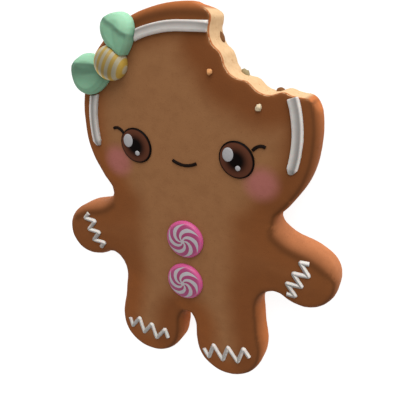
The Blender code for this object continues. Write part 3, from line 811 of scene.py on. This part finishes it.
line_sizes = {"Half width": 0.48 * MM, "Bend radius": 0.0, "Unevenness": 0.25}
smile = piped("smile", bowed((-3.9, 16.4), (3.9, 16.4), -1.1), dark_piping, line_sizes)
finished(smile, dark, "dark_icing", "mouth")
for side_name, sign in (("left", -1.0), ("right", 1.0)):
    stroke = bowed((sign * 20.75, 22.6), (sign * 24.3, 23.7), 0.75)
    lash = piped("eyelash_" + side_name, stroke, dark_piping, line_sizes)
    finished(lash, dark, "dark_icing", "lash_" + side_name)

# %% [markdown]
# An eye is a flat drop of brown icing with a dark rim and a darker middle. A drop and a sweet are
# both low domes, so one function makes them as rings of points, and keeps each point's place from
# its centre for the shader to draw rings or swirls with.

# %% Low domes
CAP_REACH = 0.955
WALL_REACHES = (0.99, 1.0, 0.985)
WALL_RISES = np.array((0.8, 0.45, 0.0))
DOME_FOOT = 0.5 * MM


def dome(name, centre, radii, turn, floor, edge, height, rings=22, around=72):
    """A low dome with a rounded edge, its base sunk a little into the skin."""
    sweep = np.linspace(0.0, math.pi / 2.0, rings)
    across = np.concatenate([np.sin(sweep) * CAP_REACH, WALL_REACHES])
    rises = np.concatenate([edge + (height - edge) * np.cos(sweep), edge * WALL_RISES])
    shape = bmesh.new()
    local = []
    rows = []
    for reach, rise in zip(across, rises):
        count = 1 if reach == 0.0 else around
        row = []
        for step in range(count):
            angle = 2.0 * math.pi * step / around
            u, v = reach * math.cos(angle), reach * math.sin(angle)
            x = u * radii[0] * math.cos(turn) - v * radii[1] * math.sin(turn)
            y = u * radii[0] * math.sin(turn) + v * radii[1] * math.cos(turn)
            row.append(shape.verts.new((centre[0] + x, centre[1] + y, floor + rise)))
            local.append((u, v))
        rows.append(row)
    foot = floor - DOME_FOOT
    low = [shape.verts.new((corner.co.x, corner.co.y, foot)) for corner in rows[-1]]
    local += local[-around:]
    rows.append(low)
    for inner, outer in zip(rows, rows[1:]):
        for step in range(around):
            after = (step + 1) % around
            if len(inner) == 1:
                shape.faces.new((inner[0], outer[step], outer[after]))
            else:
                shape.faces.new((inner[step], outer[step], outer[after], inner[after]))
    shape.faces.new(low[::-1])
    shape.normal_update()
    mesh = bpy.data.meshes.new(name)
    shape.to_mesh(mesh)
    shape.free()
    made = shown(mesh, name)
    local = np.array(local)
    keep_measure(mesh, "local_u", local[:, 0])
    keep_measure(mesh, "local_v", local[:, 1])
    return made


print("low domes ready")

# %% [markdown]
# The two eyes are mirrored, but the glints are not, because a hand puts its drops of white icing
# on both in the same way: the large one up and to the left, the small one low. Each glint has its
# place from the middle of the eye and its two radii, in millimetres.

# %% Eyes and glints
EYE_PLACE = (16.3 * MM, 19.35 * MM)
EYE_RADII = (5.05 * MM, 5.6 * MM)
EYE_TURN = math.radians(44.0)
SKIN_TOP = 11.3 * MM
GLINTS = {"large": ((-2.35, 1.35), (1.7, 2.05)), "small": ((0.75, -2.15), (0.8, 0.8))}

iris = Finish("iced_eye", Roughness=0.45, Specular_IOR_Level=0.03)
u = iris.measured("local_u")
v = iris.measured("local_v")
reach = (u * u + v * v).maths("SQRT")
eye_tone = iris.mix(reach.step(0.3, 0.82), tone(9, 5, 4), tone(74, 42, 29))
eye_tone = iris.mix(reach.step(0.88, 0.94), eye_tone, tone(10, 6, 5))
iris.colour(eye_tone)
glint = Finish("glint_icing", Roughness=0.45, Specular_IOR_Level=0.2)
glint.colour(glint.mix(glint.cloud(0.6 * MM), tone(132, 130, 131), tone(148, 146, 147)))

for side_name, sign in (("left", -1.0), ("right", 1.0)):
    x = sign * EYE_PLACE[0]
    eye = dome("iced_eye_" + side_name, (x, EYE_PLACE[1]), EYE_RADII, EYE_TURN,
               floor=SKIN_TOP + 0.1 * MM, edge=0.45 * MM, height=0.95 * MM)
    finished(eye, iris, "brown_icing", "eye_" + side_name)
    for kind, (offset, size) in GLINTS.items():
        place = (x + offset[0] * MM, EYE_PLACE[1] + offset[1] * MM)
        radii = (size[0] * MM, size[1] * MM)
        drop = dome(f"drop_{kind}_{side_name}", place, radii, turn=0.0,
                    floor=SKIN_TOP + 0.85 * MM, edge=0.15 * MM, height=0.42 * MM,
                    rings=8, around=36)
        finished(drop, glint, "white_icing", f"glint_{kind}_{side_name}")

# %% [markdown]
# A boiled sweet is pulled and twisted before it is cut, which winds its two colours into a swirl.
# Six pale arms wind outwards, and near the rim the leading side of each cuts across to the other
# in a blade's point. The shader finds the arm from the angle round the centre, turned further the
# further out it is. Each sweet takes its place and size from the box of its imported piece.

# %% Swirled sweets
ARMS = 6
WIND = 2.1
ARM_SIDES = (0.25, 0.75)
POINT_STARTS = 0.75
POINT_ENDS = 0.94
PALE_MIDDLE = (0.14, 0.09)
SWEET_EDGE = 1.1 * MM

sugar = Finish("swirled_sugar", Roughness=0.32, Specular_IOR_Level=0.35,
               Subsurface_Weight=0.1, Subsurface_Scale=0.003)
u = sugar.measured("local_u")
v = sugar.measured("local_v")
reach = (u * u + v * v).maths("SQRT")
phase = (v.maths("ARCTAN2", u) + reach * WIND) * (ARMS / (2.0 * math.pi))
in_arm = (phase + ARMS).maths("FRACT")
leading = ARM_SIDES[1] - (ARM_SIDES[1] - ARM_SIDES[0]) * reach.step(POINT_STARTS, POINT_ENDS)
arm = (in_arm - ARM_SIDES[0]).step(-0.02, 0.02) * (leading - in_arm).step(-0.02, 0.02)
arm = arm.maths("MAXIMUM", reach.step(*PALE_MIDDLE))
pink = sugar.mix(reach.step(0.3, 0.8), tone(126, 42, 81), tone(134, 48, 89))
# Towards the rim the pink is painted lighter, a painted highlight.
pink = sugar.mix(reach.step(0.8, 1.0), pink, tone(180, 76, 124))
sugar.colour(sugar.mix(arm, pink, tone(148, 142, 145)))

for node in ("candy_upper", "candy_lower"):
    box_low, box_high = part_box(node)
    middle = [(box_low[axis] + box_high[axis]) / 2.0 for axis in range(2)]
    radius = (box_high[0] - box_low[0]) / 2.0
    rest = skin_below(*middle).z
    sweet = dome(node.replace("candy", "sweet"), middle, (radius, radius), turn=0.0,
                 floor=rest, edge=SWEET_EDGE, height=box_high[2] - rest, rings=40, around=144)
    finished(sweet, sugar, "pink_candy", node)

# %% [markdown]
# The ball is a boiled sweet too, cut from a rod of striped sugar, so its stripes are level bands
# across one axis, like the rings of a top. The axis points to the viewer's right and down. A sine
# of the distance along it tells yellow from cream. Both are paler down the sides, and palest on
# the side away from the lamp, because light passes through sugar.

# %% Striped ball
BALL_CENTRE = Vector((-22.9, 43.0, 12.5)) * MM
BALL_RADIUS = 4.9 * MM
POLE = Vector((0.926, -0.373, -0.054)).normalized()
BAND_PITCH = 0.385
BALL_FLAT = 1.6 * MM
AWAY_FROM_LAMP = (-0.75, -0.66, 0.0)

shape = bmesh.new()
bmesh.ops.create_uvsphere(shape, u_segments=72, v_segments=48, radius=BALL_RADIUS,
                          matrix=Matrix.Translation(BALL_CENTRE))
for corner in shape.verts:
    corner.co.z = max(corner.co.z, BALL_CENTRE.z - BALL_FLAT)
bmesh.ops.remove_doubles(shape, verts=shape.verts, dist=0.02 * MM)
mesh = bpy.data.meshes.new("striped_ball")
shape.to_mesh(mesh)
shape.free()
ball = shown(mesh, "striped_ball")
rolled = (points_of(ball.data) - np.array(BALL_CENTRE)) / BALL_RADIUS
keep_measure(ball.data, "along_axis", rolled @ np.array(POLE))
keep_measure(ball.data, "upward", rolled[:, 2])
keep_measure(ball.data, "far_side", rolled @ np.array(AWAY_FROM_LAMP))

stripes = Finish("striped_sugar", Roughness=0.5, Specular_IOR_Level=0.3)
turns = stripes.measured("along_axis") * (2.0 * math.pi / BAND_PITCH)
yellow = turns.maths("SINE").step(-0.3, 0.3)
# Painted light: darker on top, paler down the sides and palest away from the lamp.
top_tone = stripes.mix(yellow, tone(120, 113, 93), tone(123, 100, 41))
sides_painted_light = stripes.mix(yellow, tone(170, 161, 133), tone(174, 143, 62))
far_painted_glow = stripes.mix(yellow, tone(232, 220, 184), tone(236, 194, 90))
sugar_tone = stripes.mix(stripes.measured("upward").step(0.9, 0.3), top_tone, sides_painted_light)
stripes.colour(stripes.mix(stripes.measured("far_side").step(0.3, 0.95), sugar_tone, far_painted_glow))
finished(ball, stripes, "yellow_candy", "candy_ball")

# %% [markdown]
# The leaves are cut from rolled fondant, which is soft and matt and keeps a rounded edge. A thumb
# folded one side of each down, and the knife's midrib is pressed in a little. The imported leaves
# already have the pad and its fold, so a fine copy only needs the midrib and the tones: painted
# shade in the hollow before the fold and along the midrib, and painted light on the folded side
# and round the edge. Each leaf has its tip, heading and length, and then its fold's heading, place
# and hollow width, in millimetres.

# %% Fondant leaves
LEAVES = {
    "leaf_upper": ((-18.9, 44.4), 99.5, 12.3, (59.0, 7.0, 1.8)),
    "leaf_lower": ((-23.0, 41.0), 191.0, 14.8, (90.0, 1.4, 9.0)),
}
MIDRIB_WIDTH = 0.5 * MM
MIDRIB_DEPTH = 0.1 * MM

fondant = Finish("green_fondant", Roughness=0.6, Specular_IOR_Level=0.2,
                 Subsurface_Weight=0.1, Subsurface_Scale=0.002)
green = fondant.mix(fondant.cloud(4.0 * MM), tone(104, 143, 116), tone(115, 156, 127))
# Painted shade in the hollow and the midrib; painted light on the folded side and round the edge.
green = fondant.mix(fondant.measured("hollow") * 0.9, green, tone(70, 99, 80))
green = fondant.mix(fondant.measured("folded_side") * 0.8, green, tone(142, 188, 156))
painted_rim_light = fondant.measured("facing").step(0.7, 0.25)
green = fondant.mix(painted_rim_light * 0.35, green, tone(150, 197, 165))
fondant.colour(fondant.mix(fondant.measured("midrib"), green, tone(84, 116, 94)))
fondant.relief(fondant.cloud(0.6 * MM, 3.0), 0.02 * MM)


def way_of(degrees):
    """A unit step in a level direction, counted from the viewer's right."""
    return np.array([math.cos(math.radians(degrees)), math.sin(math.radians(degrees))])


for node, (tip, heading, length, (fold_heading, fold_place, hollow)) in LEAVES.items():
    leaf = fine_copy(node, node.replace("leaf", "fondant_leaf"), voxel=0.22 * MM, passes=5)
    settle(leaf, full=1.4 * MM)
    pressed = points_of(leaf.data)
    way = way_of(heading)
    offset = pressed[:, :2] / MM - np.array(tip)
    along = offset @ way / length
    beside_rib = (offset[:, 0] * way[1] - offset[:, 1] * way[0]) * MM
    upward = points_of(leaf.data, "normals")[:, 2]
    on_top = smoothstep(upward, 0.3, 0.8)
    past = offset @ way_of(fold_heading) - fold_place
    rib = np.exp(-((beside_rib / MIDRIB_WIDTH) ** 2)) * smoothstep(0.85 - along, 0.0, 0.3)
    rib *= on_top * smoothstep(-past, 0.0, 1.0)
    pressed[:, 2] -= MIDRIB_DEPTH * rib
    move_points(leaf.data, pressed)
    before_fold = smoothstep(past, -hollow, -0.3) * smoothstep(0.4 - past, 0.0, 0.6)
    keep_measure(leaf.data, "midrib", rib * 0.2)
    keep_measure(leaf.data, "hollow", before_fold)
    keep_measure(leaf.data, "folded_side", smoothstep(past, 0.2, 3.5))
    keep_measure(leaf.data, "facing", upward)
    finished(leaf, fondant, "green_fondant", node)

# %% [markdown]
# A bite sheds crumbs. Three stick in the bitten wall near its foot and two lie on the face beside
# it. Each has a direction from the middle of the bite, with a height or a distance, and a ray
# finds the surface that it rests on. Its sizes are along the wall, into it and upright.

# %% Crumbs
WALL_CRUMBS = (
    (205.0, 2.2, (3.0, 1.7, 1.6), (122, 82, 50)),
    (235.0, 1.6, (2.9, 2.2, 1.8), (150, 136, 102)),
    (264.0, 2.2, (2.5, 1.8, 1.6), (126, 84, 50)),
)
FACE_CRUMBS = (
    (222.0, 26.3, (1.8, 1.5, 1.3), (206, 146, 94)),
    (258.0, 26.3, (1.6, 2.0, 1.3), (210, 190, 158)),
)


def crumb_mesh(name, centre, degrees, sizes, seed):
    """A lumpy closed crumb, turned so that its first size runs along the wall."""
    shape = bmesh.new()
    bmesh.ops.create_icosphere(shape, subdivisions=3, radius=0.5)
    turn = Matrix.Rotation(math.radians(degrees + 90.0), 3, "Z") @ Matrix.Diagonal(sizes)
    for corner in shape.verts:
        lump = noise.fractal(corner.co * 2.6 + Vector((seed * 7.3, 0.0, 0.0)), 0.9, 2.0, 3)
        corner.co = turn @ (corner.co * (1.0 + 0.3 * lump)) * MM + centre
    mesh = bpy.data.meshes.new(name)
    shape.to_mesh(mesh)
    shape.free()
    return shown(mesh, name)


def add_crumb(number, centre, degrees, sizes, colour):
    """A finished crumb; its colour has a darker shade in patches."""
    name = f"crumb_{number}"
    piece = crumb_mesh(name, centre, degrees, sizes, number)
    look = Finish(name, Roughness=0.8, Specular_IOR_Level=0.1)
    darker = tuple(int(value * 0.8) for value in colour)
    look.colour(look.mix(look.cloud(0.5 * MM), tone(*darker), tone(*colour)))
    finished(piece, look, "gingerbread")


for number, (degrees, height, sizes, colour) in enumerate(WALL_CRUMBS, 1):
    start = Vector((*BITE_CENTRE, height * MM))
    seat = ground.ray_cast(start, Vector((*way_of(degrees), 0.0)))[0]
    add_crumb(number, seat, degrees, sizes, colour)
for number, (degrees, away_mm, sizes, colour) in enumerate(FACE_CRUMBS, len(WALL_CRUMBS) + 1):
    seat = skin_below(*(BITE_CENTRE + way_of(degrees) * away_mm * MM))
    add_crumb(number, seat + Vector((0.0, 0.0, 0.3 * sizes[2] * MM)), degrees, sizes, colour)

# %% [markdown]
# Fine grains cling along the bitten wall. Geometry Nodes scatter them over the faces that are
# marked as bitten: points at random with a fixed seed, a small ball on each in its own size and
# turn, and then real mesh. Modelling each would take far longer and look no different.

# %% A Geometry Nodes tree that scatters grains


def grain_tree(material):
    """A tree that puts small balls on the bitten faces; its inputs are named below."""
    tree = bpy.data.node_groups.new("scatter grains", "GeometryNodeTree")
    tree.interface.new_socket("Wall", in_out="INPUT", socket_type="NodeSocketGeometry")
    for name in ("Density", "Radius"):
        tree.interface.new_socket(name, in_out="INPUT", socket_type="NodeSocketFloat")
    tree.interface.new_socket("Seed", in_out="INPUT", socket_type="NodeSocketInt")
    tree.interface.new_socket("Grains", in_out="OUTPUT", socket_type="NodeSocketGeometry")
    given = tree.nodes.new("NodeGroupInput")
    result = tree.nodes.new("NodeGroupOutput")
    marked = tree.nodes.new("GeometryNodeInputNamedAttribute")
    marked.data_type = "FLOAT"
    marked.inputs["Name"].default_value = "bitten"
    chosen = tree.nodes.new("FunctionNodeCompare")
    chosen.inputs["B"].default_value = 0.8
    scatter = tree.nodes.new("GeometryNodeDistributePointsOnFaces")
    ball_mesh = tree.nodes.new("GeometryNodeMeshIcoSphere")
    ball_mesh.inputs["Subdivisions"].default_value = 2
    size = tree.nodes.new("FunctionNodeRandomValue")
    size.data_type = "FLOAT_VECTOR"
    size.inputs["Min"].default_value = (0.5, 0.5, 0.5)
    size.inputs["Max"].default_value = (1.3, 1.3, 1.3)
    placed = tree.nodes.new("GeometryNodeInstanceOnPoints")
    real = tree.nodes.new("GeometryNodeRealizeInstances")
    painted = tree.nodes.new("GeometryNodeSetMaterial")
    painted.inputs["Material"].default_value = material
    joins = (
        (given.outputs["Wall"], scatter.inputs["Mesh"]),
        (given.outputs["Density"], scatter.inputs["Density"]),
        (given.outputs["Seed"], scatter.inputs["Seed"]),
        (given.outputs["Seed"], size.inputs["Seed"]),
        (given.outputs["Radius"], ball_mesh.inputs["Radius"]),
        (marked.outputs["Attribute"], chosen.inputs["A"]),
        (chosen.outputs["Result"], scatter.inputs["Selection"]),
        (scatter.outputs["Points"], placed.inputs["Points"]),
        (scatter.outputs["Rotation"], placed.inputs["Rotation"]),
        (ball_mesh.outputs["Mesh"], placed.inputs["Instance"]),
        (size.outputs["Value"], placed.inputs["Scale"]),
        (placed.outputs["Instances"], real.inputs["Geometry"]),
        (real.outputs["Geometry"], painted.inputs["Geometry"]),
        (painted.outputs["Geometry"], result.inputs["Grains"]),
    )
    for source, target in joins:
        tree.links.new(source, target)
    return tree


grain_look = Finish("grains", Roughness=0.8, Specular_IOR_Level=0.1)
scatter_grains = grain_tree(grain_look.material)
print("grain tree:", len(scatter_grains.nodes), "nodes")

# %% [markdown]
# The tree works on a copy of the cookie, so that the cookie itself stays one clean mesh, and the
# grains come out as a piece of their own in two shades of crumb.

# %% Scatter the grains
shades = grain_look.cloud(1.5 * MM).step(0.35, 0.65)
grain_look.colour(grain_look.mix(shades, tone(184, 142, 100), tone(204, 172, 132)))
wall_copy = bpy.data.objects.new("grain_wall", cookie.data.copy())
bpy.context.scene.collection.objects.link(wall_copy)
scattering = wall_copy.modifiers.new("grains", "NODES")
scattering.node_group = scatter_grains
grain_sizes = {"Density": 1.5e5, "Radius": 0.13 * MM, "Seed": 7}
for socket in scattering.node_group.interface.items_tree:
    if socket.name in grain_sizes:
        scattering[socket.identifier] = grain_sizes[socket.name]
grains = baked(wall_copy, "grains")
finished(grains, grain_look, "gingerbread")

# %% [markdown]
# The picture has a plain white ground with no shadow, so the floor glows a little. Soft light
# comes from everywhere, and one broad lamp stands low beyond the head, a little to the viewer's
# right, so it is the cookie's upper sides that are lit. It stands well off, to light head and
# feet alike.

# %% Floor and light
FLOOR_DROP = 0.05 * MM
FLOOR_GLOW = 0.85
ROOM_LIGHT = 0.73

bpy.ops.mesh.primitive_plane_add(size=4.0, location=(0.0, 0.0, -FLOOR_DROP))
floor = bpy.context.active_object
floor.name = "floor"
white = (1.0, 1.0, 1.0, 1.0)
paper = Finish("white_floor", Roughness=0.9, Emission_Color=white, Emission_Strength=FLOOR_GLOW)
paper.colour(tone(130, 130, 130))
floor.data.materials.append(paper.material)
floor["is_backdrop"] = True

world = bpy.data.worlds.new("soft room")
bpy.context.scene.world = world
world.use_nodes = True
world.node_tree.nodes["Background"].inputs[0].default_value = white
world.node_tree.nodes["Background"].inputs[1].default_value = ROOM_LIGHT


def lamp(name, place, aim, size, power):
    """A square lamp at a place, turned to the point that it is aimed at."""
    light = bpy.data.lights.new(name, "AREA")
    light.size = size
    light.energy = power
    made = bpy.data.objects.new(name, light)
    bpy.context.scene.collection.objects.link(made)
    made.location = place
    made.rotation_euler = (Vector(aim) - Vector(place)).to_track_quat("-Z", "Y").to_euler()


lamp("key", place=(0.3, 1.2, 0.55), aim=(0.0, 0.0, 0.0), size=1.2, power=23.0)
bpy.context.scene.view_settings.view_transform = "Standard"
print("floor and lamp placed")

# %% [markdown]
# The last step measures the finished model beside the imported one, so that a change of size would
# show.

# %% Measure and finish
low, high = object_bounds()
sizes = {"cad": [list(cad_low), list(cad_high)], "scene": [list(low), list(high)]}
print("scene box in mm:", [round((b - a) / MM, 1) for a, b in zip(low, high)])
